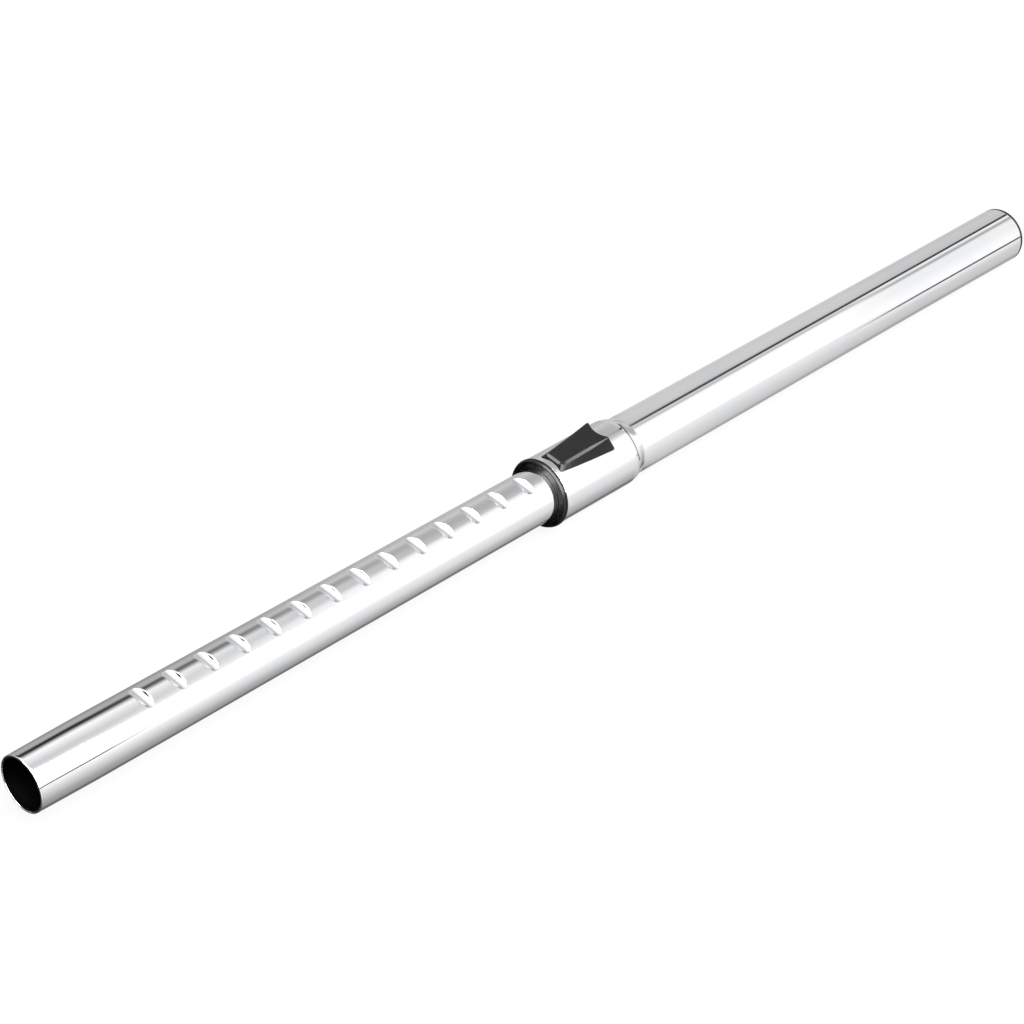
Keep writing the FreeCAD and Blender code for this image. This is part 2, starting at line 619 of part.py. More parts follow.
def inner_tube():
    """Sliding tube: a sheet of even thickness, so its bore carries the notches too."""
    land_front = f"{TIP} - spigot_front"
    land_rear = f"({land_front} - spigot_length)"
    outside = notched("tube_outside", [
        (TUBE_REAR, "0"),
        (TUBE_REAR, "tube_diameter / 2"),
        (f"{TIP} - taper_length", "tube_diameter / 2"),
        (land_rear, "spigot_diameter / 2"),
        (land_front, "spigot_diameter / 2"),
        (TIP, "tip_diameter / 2"),
        (TIP, "0"),
    ], "notch_radius")
    dressed(outside, "Chamfer", "rim_edge", ring_edges(outside, TIP, "tip_diameter / 2"), "rim_bevel")
    inside = notched("tube_inside", [
        (f"{TUBE_REAR} - tube_wall", "0"),
        (f"{TUBE_REAR} - tube_wall", "tube_diameter / 2 - tube_wall"),
        (f"{TIP} - taper_length", "tube_diameter / 2 - tube_wall"),
        (land_rear, "spigot_diameter / 2 - tube_wall"),
        (land_front, "spigot_diameter / 2 - tube_wall"),
        (f"{TIP} - rim_depth", "tip_diameter / 2 - tube_wall"),
        (f"{TIP} - rim_depth + rim_turn", "tip_diameter / 2 - tube_wall - rim_turn"),
        (f"{TIP} + tube_wall", "tip_diameter / 2 - tube_wall - rim_turn"),
        (f"{TIP} + tube_wall", "0"),
    ], "notch_radius + tube_wall")
    tube = doc.addObject("Part::Cut", "inner_tube")
    tube.Base = outside
    tube.Tool = inside
    tube.Label = "inner_tube"
    doc.recompute()
    return tube


def rear_bush():
    """Plastic bush on the sliding tube's hidden end, which guides it and stops its travel."""
    outside = f"({OUTER_BORE} - running_fit)"
    on_tube = "(tube_diameter / 2 + seat_fit)"
    return turned("rear_bush", [
        (BUSH_REAR, on_tube), (BUSH_REAR, outside), (BUSH_FRONT, outside), (BUSH_FRONT, on_tube)])


pieces = [
    outer_tube(),
    socket_liner(),
    collar(),
    wiper_ring(),
    guide_shell_upper(),
    guide_shell_lower(),
    lock_roller(),
    release_button(),
    button_carriage(),
    return_spring("left", ""),
    return_spring("right", "-"),
    inner_tube(),
    rear_bush(),
]
doc.recompute()

for item in doc.Objects:
    if "Invalid" in item.State or "Error" in item.State:
        raise RuntimeError(f"{item.Label} failed: {item.State}")
for piece in pieces:
    if piece.Shape.isNull() or not piece.Shape.isValid() or len(piece.Shape.Solids) != 1:
        raise RuntimeError(f"{piece.Label} is not one valid solid")

os.makedirs("parts", exist_ok=True)
for piece in pieces:
    piece.Shape.exportStep(f"parts/{piece.Label}.step")
    box = piece.Shape.BoundBox
    print(f"{piece.Label}: {piece.Shape.Volume:.0f} mm3, x {box.XMin:.2f} to {box.XMax:.2f}, "
          f"z {box.ZMin:.2f} to {box.ZMax:.2f}")
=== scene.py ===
# %% [markdown]
# A telescopic suction wand: two chromed steel tubes, one sliding in the other, with a black
# collar and a black release button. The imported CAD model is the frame: it gives each piece
# its place, and what is made here goes exactly there, in metres, with X along the wand.

import math

import bmesh
import bpy
import numpy as np
from mathutils import Matrix, Vector


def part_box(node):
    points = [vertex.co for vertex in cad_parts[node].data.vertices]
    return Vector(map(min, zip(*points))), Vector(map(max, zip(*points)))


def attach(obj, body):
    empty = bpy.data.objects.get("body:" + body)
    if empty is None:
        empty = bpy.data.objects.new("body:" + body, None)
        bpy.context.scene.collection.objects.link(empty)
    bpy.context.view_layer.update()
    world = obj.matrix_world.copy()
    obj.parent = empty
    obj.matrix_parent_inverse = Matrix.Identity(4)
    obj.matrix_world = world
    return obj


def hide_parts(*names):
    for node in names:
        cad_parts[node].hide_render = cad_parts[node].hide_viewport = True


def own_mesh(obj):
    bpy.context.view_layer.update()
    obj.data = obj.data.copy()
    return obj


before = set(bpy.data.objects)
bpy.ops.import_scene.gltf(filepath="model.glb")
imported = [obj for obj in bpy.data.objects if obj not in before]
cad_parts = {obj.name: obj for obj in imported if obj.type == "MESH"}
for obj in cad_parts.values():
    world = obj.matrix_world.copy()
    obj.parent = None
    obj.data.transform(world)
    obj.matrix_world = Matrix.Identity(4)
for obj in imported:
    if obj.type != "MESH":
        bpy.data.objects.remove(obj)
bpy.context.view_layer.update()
MM = 0.001
for node_name in sorted(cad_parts):
    low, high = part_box(node_name)
    print(node_name, [round(value / MM, 2) for value in (*low, *high)])

# %% [markdown]
# The camera comes first, because every look is judged through it. The photograph shows the
# wand from above its nozzle end, so its lines run from the lower left to the upper right.
# The long lens keeps the two tubes nearly as wide at both ends.

# %% Camera at the photograph's place
SENSOR_MM = 36.0
LENS_MM = 90.18
camera_data = bpy.data.cameras.new("wand_camera")
camera_data.sensor_width = SENSOR_MM
camera_data.lens = LENS_MM
camera_data.clip_start = 0.05
camera_data.clip_end = 50.0
camera = bpy.data.objects.new("wand_camera", camera_data)
camera_right = Vector((-0.67882337, 0.71641482, 0.1610858))
camera_down = Vector((0.38231639, 0.53211584, -0.75543822))
camera_forward = Vector((-0.62692344, -0.45122338, -0.6351098))
turn = Matrix((camera_right, -camera_down, -camera_forward)).transposed()
camera.matrix_world = Matrix.Translation((1.508324, 0.705004, 0.989415)) @ turn.to_4x4()
bpy.context.scene.collection.objects.link(camera)
bpy.context.scene.camera = camera
bpy.context.scene.view_settings.view_transform = "Standard"
camera_place = [round(value, 3) for value in camera.matrix_world.translation]
print("camera with a lens of", LENS_MM, "mm at", camera_place)

# %% [markdown]
# Almost everything on the wand is turned or drawn, so one helper makes a mesh from a grid of
# points whose rows may close into rings. A second helper draws an outline whose corners are
# rounded, with extra points beside each corner, so that the shading of a long straight run
# isn't pulled round by its ends.


# %% Grids of points into meshes
def skin(name, grid, material, body, stands_for=(), close_rows=True, poles=False):
    """A mesh over a grid of points (rows, columns, 3) in millimetres. Columns close round the
    piece. Rows close into a loop, or with poles the first and last rows are single points."""
    rows, columns = grid.shape[:2]
    index = np.arange(rows * columns).reshape(rows, columns)
    here = index if close_rows else index[:-1]
    below = np.roll(index, -1, axis=0) if close_rows else index[1:]
    beside = np.roll(here, -1, axis=1)
    beside_below = np.roll(below, -1, axis=1)
    quads = np.stack([here, below, beside_below, beside], axis=-1).reshape(-1, 4)
    mesh = bpy.data.meshes.new(name)
    mesh.from_pydata((grid.reshape(-1, 3) * MM).tolist(), [], quads.tolist())
    if poles:
        weld(mesh)
    mesh.polygons.foreach_set("use_smooth", np.ones(len(mesh.polygons), bool))
    mesh.validate()
    piece = bpy.data.objects.new(name, mesh)
    bpy.context.scene.collection.objects.link(piece)
    mesh.materials.append(material)
    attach(piece, body)
    if stands_for:
        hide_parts(*stands_for)
    print(name, "encloses", round(enclosed(mesh) / MM ** 3), "cubic mm")
    return piece


def enclosed(mesh):
    """The volume inside a mesh: each triangle makes a tetrahedron with the origin, and their
    signed volumes add up. It comes out positive when the faces point outwards."""
    mesh.calc_loop_triangles()
    corners = np.zeros(len(mesh.loop_triangles) * 3, np.int32)
    mesh.loop_triangles.foreach_get("vertices", corners)
    points = np.zeros(len(mesh.vertices) * 3)
    mesh.vertices.foreach_get("co", points)
    a, b, c = points.reshape(-1, 3)[corners.reshape(-1, 3)].transpose(1, 0, 2)
    return float((a * np.cross(b, c)).sum() / 6)


def weld(mesh):
    """Points that lie on each other become one, which closes the poles of a grid."""
    work = bmesh.new()
    work.from_mesh(mesh)
    bmesh.ops.remove_doubles(work, verts=work.verts, dist=1e-6)
    work.to_mesh(mesh)
    work.free()


def outline(corners, step=12.0, bend_points=7):
    """A closed outline through corners (place, radius, round). Each corner becomes a short
    quadratic curve that starts and ends one round before and after it. Straight runs get a
    point every step millimetres, and two close to each end."""
    spots = np.array([corner[:2] for corner in corners], float)
    reach = np.array([corner[2] for corner in corners], float)
    after = np.roll(spots, -1, axis=0)
    before = np.roll(spots, 1, axis=0)
    forward = (after - spots) / np.linalg.norm(after - spots, axis=1)[:, None]
    back = (before - spots) / np.linalg.norm(before - spots, axis=1)[:, None]
    enter = spots + back * reach[:, None]
    leave = spots + forward * reach[:, None]
    t = np.linspace(0.0, 1.0, bend_points)[:, None]
    points = []
    for k in range(len(corners)):
        bend = (1 - t) ** 2 * enter[k] + 2 * t * (1 - t) * spots[k] + t ** 2 * leave[k]
        points.append(bend if reach[k] > 0 else spots[k:k + 1])
        end = enter[(k + 1) % len(corners)]
        length = np.linalg.norm(end - leave[k])
        close = [c for c in (0.15, 0.5) if c < length / 3]
        inner = np.arange(1, int(length / step)) * step
        places = np.array(sorted({*close, *inner.tolist(), *[length - c for c in close]}))
        if len(places):
            points.append(leave[k] + forward[k] * places[:, None])
    return np.concatenate(points)


def turned(profile, columns=192):
    """The grid of a profile turned about the wand's axis: radius times cosine and sine."""
    angle = np.linspace(0.0, 2 * np.pi, columns, endpoint=False)
    along = np.broadcast_to(profile[:, :1], (len(profile), columns))
    return np.stack([along, profile[:, 1:] * np.sin(angle), profile[:, 1:] * np.cos(angle)], -1)


# %% [markdown]
# Colours are written as the sRGB values that a painter would pick, and one function turns
# them into the linear values that the renderer works in. Every material is a small node
# tree, built with one function that adds a node with its settings and its links.


# %% Colours and nodes
def linear(hex_colour, alpha=1.0):
    """An sRGB hex colour as linear RGBA: the curve is a 2.4 power with a straight toe."""
    srgb = np.array([int(hex_colour[k:k + 2], 16) for k in (1, 3, 5)]) / 255
    value = np.where(srgb <= 0.04045, srgb / 12.92, ((srgb + 0.055) / 1.055) ** 2.4)
    return (*value.tolist(), alpha)


def add(tree, kind, links=(), values=(), **settings):
    """Adds a node: settings are its properties, values its sockets, links what feeds them."""
    made = tree.nodes.new(kind)
    for name, value in settings.items():
        setattr(made, name, value)
    for name, value in dict(values).items():
        made.inputs[name].default_value = value
    for name, socket in dict(links).items():
        tree.links.new(socket, made.inputs[name])
    return made


def ramp_stops(made, stops):
    """Fills a colour ramp with (position, grey or colour) stops."""
    elements = made.color_ramp.elements
    while len(elements) > 1:
        elements.remove(elements[-1])
    for k, (position, colour) in enumerate(stops):
        stop = elements[0] if k == 0 else elements.new(position)
        stop.position = position
        stop.color = colour if isinstance(colour, tuple) else (colour, colour, colour, 1.0)


def new_material(name):
    """A material with its tree emptied down to one Principled shader and the output."""
    material = bpy.data.materials.new(name)
    material.use_nodes = True
    tree = material.node_tree
    tree.nodes.clear()
    shader = add(tree, "ShaderNodeBsdfPrincipled")
    add(tree, "ShaderNodeOutputMaterial", {"Surface": shader.outputs["BSDF"]})
    return material, tree, shader


# %% [markdown]
# Both tubes are drawn steel with bright chrome on it. Chrome is a nearly perfect mirror, a
# little bluish, and the drawing die leaves very fine lines along the tube. These lines
# soften the mirror image across the tube more than along it. Handling leaves a dull film in
# patches, which shows as a slightly higher roughness. The chrome hardly reaches inside, so
# the bore is bare steel with a rougher finish. Its near-black colour is painted shade for the
# dark inside of the tube. A "bore" attribute on the mesh, one inside and zero outside,
# mixes the two.

# %% Chromed steel
chrome, tree, shader = new_material("chrome_on_drawn_steel")
place = add(tree, "ShaderNodeTexCoord").outputs["Object"]
DRAW_LINE_MM = 0.35
FILM_MM = 40.0
ALONG_LINES = 6.0
across_lines = 1 / (DRAW_LINE_MM * MM)
stretched = add(tree, "ShaderNodeMapping", {"Vector": place},
                {"Scale": (ALONG_LINES, across_lines, across_lines)})
lines = add(tree, "ShaderNodeTexNoise", {"Vector": stretched.outputs["Vector"]},
            {"Scale": 1.0, "Detail": 2.0})
film = add(tree, "ShaderNodeTexNoise", {"Vector": place}, {"Scale": 1 / (FILM_MM * MM), "Detail": 4.0})
film_roughness = add(tree, "ShaderNodeMapRange", {"Value": film.outputs["Fac"]},
                     {"From Min": 0.35, "From Max": 0.7, "To Min": 0.05, "To Max": 0.08})
tint = add(tree, "ShaderNodeValToRGB", {"Fac": film.outputs["Fac"]})
ramp_stops(tint, [(0.3, linear("#FEFEFF")), (0.7, linear("#FAFBFD"))])
grain = add(tree, "ShaderNodeBump", {"Height": lines.outputs["Fac"]},
            {"Strength": 0.03, "Distance": 0.02 * MM})
shader.inputs["Metallic"].default_value = 1.0
bore = add(tree, "ShaderNodeAttribute", attribute_name="bore")
plating_and_bore_shade = add(tree, "ShaderNodeMix", {0: bore.outputs["Fac"], 6: tint.outputs["Color"]}, data_type="RGBA")
# The bore's near-black colour is painted shade for the dark inside of the tube.
plating_and_bore_shade.inputs[7].default_value = linear("#17181A")
finish = add(tree, "ShaderNodeMix", {0: bore.outputs["Fac"], 2: film_roughness.outputs["Result"]}, {3: 0.5})
tree.links.new(plating_and_bore_shade.outputs[2], shader.inputs["Base Color"])
tree.links.new(finish.outputs[0], shader.inputs["Roughness"])
tree.links.new(grain.outputs["Normal"], shader.inputs["Normal"])
print(chrome.name, "has", len(tree.nodes), "nodes")


def mark_bore(mesh, rows, columns):
    """Writes the bore attribute: one for every point of the given rows of the grid."""
    marks = np.zeros(len(mesh.vertices), np.float32)
    marks[:len(rows) * columns] = np.repeat(rows, columns)
    mesh.attributes.new("bore", "FLOAT", "POINT").data.foreach_set("value", marks)


# %% [markdown]
# The liner, the collar and the button are ABS, a hard plastic moulded in a spark-eroded
# tool. The tool leaves a fine even grain, so the black is satin: dark where it faces the
# dark part of the studio, and grey along its rounded edges.

# %% Black ABS
black_abs, tree, shader = new_material("black_abs_moulded")
place = add(tree, "ShaderNodeTexCoord").outputs["Object"]
GRAIN_MM = 0.25
WEAR_MM = 6.25
pits = add(tree, "ShaderNodeTexNoise", {"Vector": place}, {"Scale": 1 / (GRAIN_MM * MM), "Detail": 3.0})
wear = add(tree, "ShaderNodeTexNoise", {"Vector": place}, {"Scale": 1 / (WEAR_MM * MM), "Detail": 5.0})
shade = add(tree, "ShaderNodeValToRGB", {"Fac": wear.outputs["Fac"]})
ramp_stops(shade, [(0.3, linear("#050606")), (0.7, linear("#0A0B0C"))])
satin = add(tree, "ShaderNodeMapRange", {"Value": wear.outputs["Fac"]},
            {"From Min": 0.3, "From Max": 0.7, "To Min": 0.2, "To Max": 0.28})
pitted = add(tree, "ShaderNodeBump", {"Height": pits.outputs["Fac"]},
             {"Strength": 0.2, "Distance": 0.04 * MM})
shader.inputs["IOR"].default_value = 1.44
tree.links.new(shade.outputs["Color"], shader.inputs["Base Color"])
tree.links.new(satin.outputs["Result"], shader.inputs["Roughness"])
tree.links.new(pitted.outputs["Normal"], shader.inputs["Normal"])
print(black_abs.name, "has", len(tree.nodes), "nodes")

# %% [markdown]
# The ring in front of the collar is soft rubber. It is as black as the ABS beside it and a
# little duller, and dust that clings to it lightens it a little in specks.

# %% Black rubber
black_rubber, tree, shader = new_material("black_rubber_moulded")
place = add(tree, "ShaderNodeTexCoord").outputs["Object"]
bloom = add(tree, "ShaderNodeTexNoise", {"Vector": place}, {"Scale": 220.0, "Detail": 6.0})
shade = add(tree, "ShaderNodeValToRGB", {"Fac": bloom.outputs["Fac"]})
ramp_stops(shade, [(0.35, linear("#060607")), (0.8, linear("#101112"))])
matt = add(tree, "ShaderNodeMapRange", {"Value": bloom.outputs["Fac"]},
           {"From Min": 0.3, "From Max": 0.7, "To Min": 0.24, "To Max": 0.34})
skin_bump = add(tree, "ShaderNodeBump", {"Height": bloom.outputs["Fac"]},
                {"Strength": 0.15, "Distance": 0.00005})
shader.inputs["IOR"].default_value = 1.5
tree.links.new(shade.outputs["Color"], shader.inputs["Base Color"])
tree.links.new(matt.outputs["Result"], shader.inputs["Roughness"])
tree.links.new(skin_bump.outputs["Normal"], shader.inputs["Normal"])
print(black_rubber.name, "has", len(tree.nodes), "nodes")

# %% [markdown]
# The hidden pieces get their real finishes: milky acetal for the guide and the carriage, grey
# acetal for the rear bush, a turned steel roller with rings left by the tool, and drawn wire
# for the springs. All but the springs keep their CAD meshes.


# %% Finishes of the inner pieces
def moulded_acetal(name, light, dark):
    """Acetal: a waxy matt plastic, nearly even in colour, with a soft grain of 0.4 mm."""
    material, tree, shader = new_material(name)
    place = add(tree, "ShaderNodeTexCoord").outputs["Object"]
    cloud = add(tree, "ShaderNodeTexNoise", {"Vector": place}, {"Scale": 90.0, "Detail": 4.0})
    shade = add(tree, "ShaderNodeValToRGB", {"Fac": cloud.outputs["Fac"]})
    ramp_stops(shade, [(0.3, linear(dark)), (0.7, linear(light))])
    grain = add(tree, "ShaderNodeTexNoise", {"Vector": place}, {"Scale": 2500.0, "Detail": 2.0})
    bump = add(tree, "ShaderNodeBump", {"Height": grain.outputs["Fac"]},
               {"Strength": 0.15, "Distance": 0.00003})
    shader.inputs["Roughness"].default_value = 0.45
    shader.inputs["IOR"].default_value = 1.48
    tree.links.new(shade.outputs["Color"], shader.inputs["Base Color"])
    tree.links.new(bump.outputs["Normal"], shader.inputs["Normal"])
    return material


def turned_steel(name, axis, ring_mm):
    """Bare steel with fine tool rings across an axis (0 is X, 1 is Y): noise squeezed along
    that axis and stretched the other two ways."""
    material, tree, shader = new_material(name)
    place = add(tree, "ShaderNodeTexCoord").outputs["Object"]
    stretch = tuple(1 / (ring_mm * MM) if k == axis else 40.0 for k in range(3))
    rings = add(tree, "ShaderNodeMapping", {"Vector": place}, {"Scale": stretch})
    tool = add(tree, "ShaderNodeTexNoise", {"Vector": rings.outputs["Vector"]}, {"Scale": 1.0, "Detail": 3.0})
    shade = add(tree, "ShaderNodeValToRGB", {"Fac": tool.outputs["Fac"]})
    ramp_stops(shade, [(0.3, linear("#B4B6BA")), (0.7, linear("#CDCFD2"))])
    rough = add(tree, "ShaderNodeMapRange", {"Value": tool.outputs["Fac"]},
                {"To Min": 0.18, "To Max": 0.34})
    shader.inputs["Metallic"].default_value = 1.0
    tree.links.new(shade.outputs["Color"], shader.inputs["Base Color"])
    tree.links.new(rough.outputs["Result"], shader.inputs["Roughness"])
    return material


inner_finishes = {
    "guide_shell_upper": moulded_acetal("pale_acetal_moulded", "#E6E5DF", "#DAD9D2"),
    "rear_bush": moulded_acetal("grey_acetal_moulded", "#6E7073", "#606265"),
    "lock_roller": turned_steel("bright_steel_turned", 1, 0.2),
}
inner_finishes["guide_shell_lower"] = inner_finishes["guide_shell_upper"]
inner_finishes["button_carriage"] = inner_finishes["guide_shell_upper"]
spring_wire = turned_steel("spring_wire_drawn", 0, 0.3)
for node_name, finish in inner_finishes.items():
    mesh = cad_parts[node_name].data
    mesh.materials.clear()
    mesh.materials.append(finish)
    print(node_name, "gets", finish.name)

# %% [markdown]
# The grip tube is one drawn tube. It flares slightly at the socket end, and it was pressed
# wider over its last part into the housing, with a shoulder between the two. The sheet is
# 0.7 mm thick, and a window under the button lets the carriage through. It is a closed
# outline turned about the axis, with the window's cells left out and its walls added.

# %% Grip tube with its housing
SHEET = 0.7
LIP_LENGTH = 2.3
FLARE_RADIUS = 20.2
GRIP_RADIUS = 19.7
HOUSING_RADIUS = 22.2
FLARE_END = 128.0
NECK = (427.9, 428.3)
HOUSING_BEND = (432.4, 438.6)
MOUTH = 503.4
WINDOW = (457.6, 488.7)
WINDOW_HALF = 6.9
WINDOW_ANGLE = math.asin(WINDOW_HALF / (HOUSING_RADIUS - SHEET / 2))
FLARE_POWER = 1.3
ROW_STEP = 12.0
BEND_ROWS = 60
WINDOW_ROWS = 8
WINDOW_COLUMNS = 14
OTHER_COLUMNS = 170


def eased(x, bend):
    """How far a line of slope one has risen past a bend: nothing before it, a parabola in it,
    and the distance from the bend's middle after it."""
    start, end = bend
    inside = np.clip(x - start, 0.0, end - start)
    return inside ** 2 / (2 * (end - start)) + np.maximum(x - end, 0.0)


def grip_radius(x):
    """Outside radius along the grip tube: a slight flare at the socket, a straight run, and a
    shoulder that starts in a tight bend at the neck and ends in a wide one at the housing."""
    flare = np.clip((FLARE_END - x) / (FLARE_END - LIP_LENGTH), 0.0, 1.0) ** FLARE_POWER
    rise = eased(x, NECK) - eased(x, HOUSING_BEND)
    full_rise = (HOUSING_BEND[0] + HOUSING_BEND[1] - NECK[0] - NECK[1]) / 2
    swell = (FLARE_RADIUS - GRIP_RADIUS) * flare
    return GRIP_RADIUS + swell + (HOUSING_RADIUS - GRIP_RADIUS) * rise / full_rise


def grip_tube():
    """The tube's closed outline turned about the axis, with its window cut out of the top."""
    edge = 0.25
    straight = np.arange(ROW_STEP, NECK[0] - 3, ROW_STEP)
    bends = np.linspace(NECK[0] - 1, HOUSING_BEND[1] + 1, BEND_ROWS)
    window = np.linspace(*WINDOW, WINDOW_ROWS)
    beside = np.array([LIP_LENGTH + edge, LIP_LENGTH + 0.6, LIP_LENGTH + 1.5, 425.0, 442.0, 448.0,
                       453.0, 495.0, MOUTH - 1.0, MOUTH - 0.5, MOUTH - edge])
    x = np.sort(np.concatenate([straight, bends, window, beside]))
    outside = np.stack([x, grip_radius(x)], -1)
    inside = np.stack([x, grip_radius(x) - SHEET], -1)[::-1]
    mouth = np.array([[MOUTH, HOUSING_RADIUS - edge], [MOUTH, HOUSING_RADIUS - SHEET + edge]])
    rear = np.array([[LIP_LENGTH, FLARE_RADIUS - SHEET + edge], [LIP_LENGTH, FLARE_RADIUS - edge]])
    profile = np.concatenate([outside, mouth, inside, rear])
    fine = np.linspace(-WINDOW_ANGLE, WINDOW_ANGLE, WINDOW_COLUMNS)
    wide = np.linspace(WINDOW_ANGLE, 2 * np.pi - WINDOW_ANGLE, OTHER_COLUMNS + 2)[1:-1]
    angle = np.concatenate([fine, wide])
    along = np.broadcast_to(profile[:, :1], (len(profile), len(angle)))
    grid = np.stack([along, profile[:, 1:] * np.sin(angle), profile[:, 1:] * np.cos(angle)], -1)
    tube = skin("grip_tube_skin", grid, chrome, "grip", ["outer_tube"])
    cut_window(tube.data, profile, len(angle), len(fine))
    row = np.arange(len(profile))
    within = (row > len(x) + 1) & (row < 2 * len(x) + 2)
    mark_bore(tube.data, within, len(angle))


def cut_window(mesh, profile, columns, fine):
    """Leaves out the cells of the window in both walls, and closes its four edges. The volume
    printed for the tube is the one before this."""
    rows = len(profile)
    index = np.arange(rows * columns).reshape(rows, columns)
    in_window = (profile[:, 0] >= WINDOW[0] - 1e-6) & (profile[:, 0] <= WINDOW[1] + 1e-6)
    window_rows = np.flatnonzero(in_window)
    outer_rows = window_rows[:len(window_rows) // 2]
    inner_rows = window_rows[len(window_rows) // 2:][::-1]
    quads = np.array([face.vertices[:] for face in mesh.polygons])
    row_of = quads // columns
    column_of = quads % columns
    inside_rows = in_window[row_of].all(axis=1)
    dropped = inside_rows & (column_of.max(axis=1) <= fine - 1)
    kept = quads[~dropped]
    ring_outer = np.concatenate([index[outer_rows, 0], index[outer_rows[-1], 1:fine],
                                 index[outer_rows[::-1], fine - 1][1:], index[outer_rows[0], fine - 2:0:-1]])
    ring_inner = np.concatenate([index[inner_rows, 0], index[inner_rows[-1], 1:fine],
                                 index[inner_rows[::-1], fine - 1][1:], index[inner_rows[0], fine - 2:0:-1]])
    walls = np.stack([ring_outer, ring_inner, np.roll(ring_inner, -1), np.roll(ring_outer, -1)], -1)
    points = np.zeros(rows * columns * 3)
    mesh.vertices.foreach_get("co", points)
    mesh.clear_geometry()
    mesh.from_pydata(points.reshape(-1, 3).tolist(), [], np.concatenate([kept, walls]).tolist())
    mesh.polygons.foreach_set("use_smooth", np.ones(len(mesh.polygons), bool))
    mesh.validate()


grip_tube()

# %% [markdown]
# The sliding tube carries the lock notches. A bar is pressed across its top every 23.05 mm,
# so each notch is a valley with the bar's round bottom, deepest in the middle, and its
# edges are rolled over smoothly where the sheet bends. The same bends show in the bore,
# because the sheet keeps its thickness. The radius is worked out for each point of a grid
# whose rows spread and close in with the notch, so that its edges come out smooth.

# %% Sliding tube with its notches
TUBE_RADIUS = 17.5
TIP_RADIUS = 17.0
TIP = 903.3
FULL_END = 862.3
CONE_BEND = 8.0
TUBE_REAR = 397.9
LOCK_LINE = 478.25
NOTCH_PITCH = 23.05
NOTCHES = LOCK_LINE + NOTCH_PITCH * np.arange(16)
BAR_RADIUS = 4.0
BAR_HEIGHT = 19.4
ROLLED_TO_HANDLE = 0.9
ROLLED_TO_NOZZLE = 1.8
ROLLED_AT_ENDS = 0.2
LEAST_COSINE = 0.05
OUT_OF_REACH = 1e3
LEAST_ROW_SPREAD = 1.2
FINE_FROM = 0.8
FINE_TO = 1.12
LIP_BACK = 1.2
LIP_THICKNESS = 1.1


def plain_radius(x):
    """Outside radius without the notches: full width, then one even cone to the tip, which
    passes through the sized land's radius at the land's middle."""
    slope = (TUBE_RADIUS - TIP_RADIUS) / (TIP - FULL_END)
    return TUBE_RADIUS - slope * eased(x, (FULL_END - CONE_BEND, FULL_END + CONE_BEND))


def notch_half(angle, radius, sheet_in):
    """Half the notch's length along the tube at an angle round it, zero beyond its ends."""
    rise = np.maximum(BAR_HEIGHT - radius * np.cos(angle), 0.0)
    return np.sqrt(np.maximum((BAR_RADIUS + sheet_in) ** 2 - rise ** 2, 0.0))


def notched_radius(x, angle, sheet_in):
    """Outside radius of the notched tube, or of its bore when sheet_in is the sheet. The
    bar's underside is a cylinder across the tube, so its distance from the axis is its
    height over the cosine of the angle. The smaller of tube and bar wins, and where they
    are nearly equal a parabola rounds the corner, the less the shallower the notch."""
    plain = plain_radius(x) - sheet_in
    nearest = NOTCHES[np.abs(x[..., None] - NOTCHES).argmin(axis=-1)]
    off = np.abs(x - nearest)
    reach = BAR_RADIUS + sheet_in
    cosine = np.maximum(np.cos(angle), LEAST_COSINE)
    bottom = BAR_HEIGHT - np.sqrt(np.maximum(reach ** 2 - off ** 2, 0.0))
    bar = np.where(off < reach, bottom / cosine, OUT_OF_REACH)
    depth = plain - (BAR_HEIGHT - reach) / cosine
    full_depth = TUBE_RADIUS - (BAR_HEIGHT - BAR_RADIUS)
    widest = np.where(x > nearest, ROLLED_TO_NOZZLE, ROLLED_TO_HANDLE)
    rolled = ROLLED_AT_ENDS + (widest - ROLLED_AT_ENDS) * np.clip(depth / full_depth, 0.0, 1.0)
    gap = np.clip(1 - np.abs(bar - plain) / rolled, 0.0, 1.0)
    return np.minimum(bar, plain) - gap ** 2 * rolled / 4


def notch_rows(angle, beside, spread, steps, sheet_in):
    """Places along the tube for each angle: the same for all angles beside the notches, and
    at fixed shares of the notch's own half length inside them."""
    half = notch_half(angle, TUBE_RADIUS - sheet_in, sheet_in)
    width = np.sqrt(half ** 2 + LEAST_ROW_SPREAD ** 2)
    near = NOTCHES[:, None, None] + steps[None, :, None] * width[None, None, :]
    far = np.broadcast_to(np.sort(np.concatenate([beside, spread]))[:, None],
                          (len(beside) + len(spread), len(angle)))
    rows = np.concatenate([near.reshape(-1, len(angle)), far])
    return np.sort(rows, axis=0)


